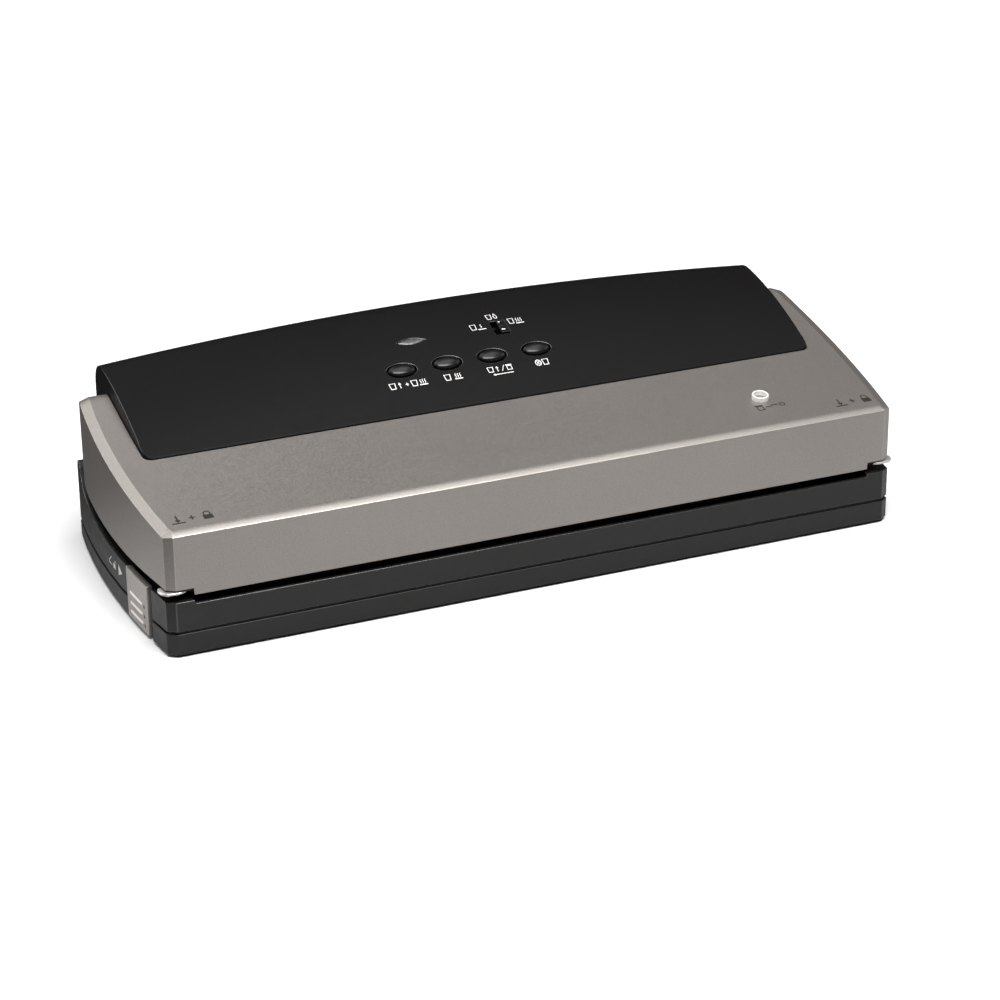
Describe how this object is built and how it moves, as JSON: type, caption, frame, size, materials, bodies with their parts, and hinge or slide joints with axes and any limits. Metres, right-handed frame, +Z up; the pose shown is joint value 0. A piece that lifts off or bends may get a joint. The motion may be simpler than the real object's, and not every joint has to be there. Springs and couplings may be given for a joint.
{
  "type": "vacuum packing machine",
  "caption": "Countertop vacuum bag sealer: flat base with seal bar and drip tray, hinged lid with push buttons, slide switch, pump and accessory port, side release buttons.",
  "frame": {"origin": "on the table, under the middle of the machine", "axes": "+X to the machine's right (its longest side), +Y from the bag slot at the front to the hinge at the back, +Z up"},
  "size_m": [0.4108, 0.164, 0.1066],
  "materials": {
    "pan_plastic": "fine-textured moulded charcoal plastic",
    "housing_plastic": "fine-textured moulded charcoal plastic, satin",
    "tray_plastic": "smooth dark grey plastic",
    "lid_silver": "warm silver metallic finish with a fine grain, satin",
    "panel_plastic": "satin black, very fine texture",
    "liner_plastic": "matt black plastic",
    "release_silver": "silver painted plastic, satin",
    "latch_plastic": "black nylon",
    "foot_rubber": "matt rubber",
    "gasket_foam": "closed-cell foam rubber",
    "silicone": "silicone rubber strip",
    "heater_support": "heat-resistant laminate",
    "heater_metal": "thin resistance strip",
    "ptfe": "woven non-stick tape",
    "steel": "plain steel",
    "chrome_trim": "bright chrome",
    "key_gloss": "glossy black",
    "slider_gloss": "glossy black with light ridges",
    "lens_clear": "clear over a silver reflector",
    "port_white": "glossy white plastic",
    "gland_plastic": "black plastic bush",
    "board_green": "green laminate",
    "switch_plastic": "grey moulded plastic",
    "switch_red": "red-brown moulded plastic",
    "led_clear": "clear green lamp",
    "motor_can": "zinc-plated steel can",
    "pump_plastic": "glass-filled nylon",
    "hose_silicone": "translucent silicone tube",
    "transformer_core": "varnished laminated iron"
  },
  "bodies": {
    "base": {"base_lower_pan": "pan_plastic", "base_upper_housing": "housing_plastic", "foot_front_left": "foot_rubber", "foot_front_right": "foot_rubber", "foot_rear_left": "foot_rubber", "foot_rear_right": "foot_rubber", "pan_screw_front_left": "steel", "pan_screw_front_right": "steel", "pan_screw_rear_left": "steel", "pan_screw_rear_right": "steel", "drip_tray": "tray_plastic", "lower_gasket": "gasket_foam", "heater_bar_support": "heater_support", "heater_element": "heater_metal", "ptfe_tape": "ptfe", "cord_gland": "gland_plastic", "hinge_pin_left": "steel", "hinge_pin_right": "steel", "lid_switch_left": "switch_red", "lid_switch_right": "switch_red", "release_spring_left": "steel", "release_spring_right": "steel"},
    "lid": {"lid_cover": "lid_silver", "control_panel": "panel_plastic", "lid_liner": "liner_plastic", "vacuum_chamber_cap": "liner_plastic", "upper_gasket": "gasket_foam", "press_strip": "silicone", "indicator_lens": "lens_clear", "accessory_port": "port_white", "control_board": "board_green", "indicator_led": "led_clear", "slide_switch_body": "switch_plastic", "pump_motor": "motor_can", "pump_head": "pump_plastic", "vacuum_hose": "hose_silicone", "accessory_hose": "hose_silicone", "power_transformer": "transformer_core", "lid_hook_left": "latch_plastic", "lid_hook_right": "latch_plastic", "corner_tab_left": "chrome_trim", "corner_tab_right": "chrome_trim", "tact_switch_vacuum_seal": "switch_plastic", "tact_switch_seal": "switch_plastic", "tact_switch_accessory": "switch_plastic", "tact_switch_cancel": "switch_plastic", "liner_screw_front_left": "steel", "liner_screw_front_right": "steel", "liner_screw_rear_left": "steel", "liner_screw_rear_right": "steel"},
    "release_left": {"release_button_left": "release_silver", "latch_catch_left": "latch_plastic"},
    "release_right": {"release_button_right": "release_silver", "latch_catch_right": "latch_plastic"},
    "vacuum_seal_key": {"button_vacuum_seal": "key_gloss"},
    "seal_key": {"button_seal": "key_gloss"},
    "accessory_key": {"button_accessory": "key_gloss"},
    "cancel_key": {"button_cancel": "key_gloss"},
    "seal_time_knob": {"seal_time_slider": "slider_gloss"},
    "pump_shaft": {"pump_crank": "steel"}
  },
  "joints": [
    {"name": "lid_hinge", "type": "hinge", "parent": "base", "child": "lid", "pos_m": [0, 0.07, 0.041], "axis": [-1, 0, 0], "range_deg": [0, 75]},
    {"name": "release_left_push", "type": "slide", "parent": "base", "child": "release_left", "axis": [1, 0, 0], "range_m": [0, 0.003], "stiffness_N_per_m": 800, "springref_m": -0.001, "deforming": ["release_spring_left"]},
    {"name": "release_right_push", "type": "slide", "parent": "base", "child": "release_right", "axis": [-1, 0, 0], "range_m": [0, 0.003], "stiffness_N_per_m": 800, "springref_m": -0.001, "deforming": ["release_spring_right"]},
    {"name": "vacuum_seal_press", "type": "slide", "parent": "lid", "child": "vacuum_seal_key", "axis": [0, 0.4166, -0.9091], "range_m": [0, 0.0012], "stiffness_N_per_m": 600, "springref_m": -0.0005},
    {"name": "seal_press", "type": "slide", "parent": "lid", "child": "seal_key", "axis": [0, 0.4166, -0.9091], "range_m": [0, 0.0012], "stiffness_N_per_m": 600, "springref_m": -0.0005},
    {"name": "accessory_press", "type": "slide", "parent": "lid", "child": "accessory_key", "axis": [0, 0.4166, -0.9091], "range_m": [0, 0.0012], "stiffness_N_per_m": 600, "springref_m": -0.0005},
    {"name": "cancel_press", "type": "slide", "parent": "lid", "child": "cancel_key", "axis": [0, 0.4166, -0.9091], "range_m": [0, 0.0012], "stiffness_N_per_m": 600, "springref_m": -0.0005},
    {"name": "seal_time_slide", "type": "slide", "parent": "lid", "child": "seal_time_knob", "axis": [1, 0, -0.0066], "range_m": [-0.0032, 0]},
    {"name": "pump_turn", "type": "hinge", "parent": "lid", "child": "pump_shaft", "pos_m": [0, 0.037, 0.057], "axis": [1, 0, 0], "continuous": true}
  ]
}
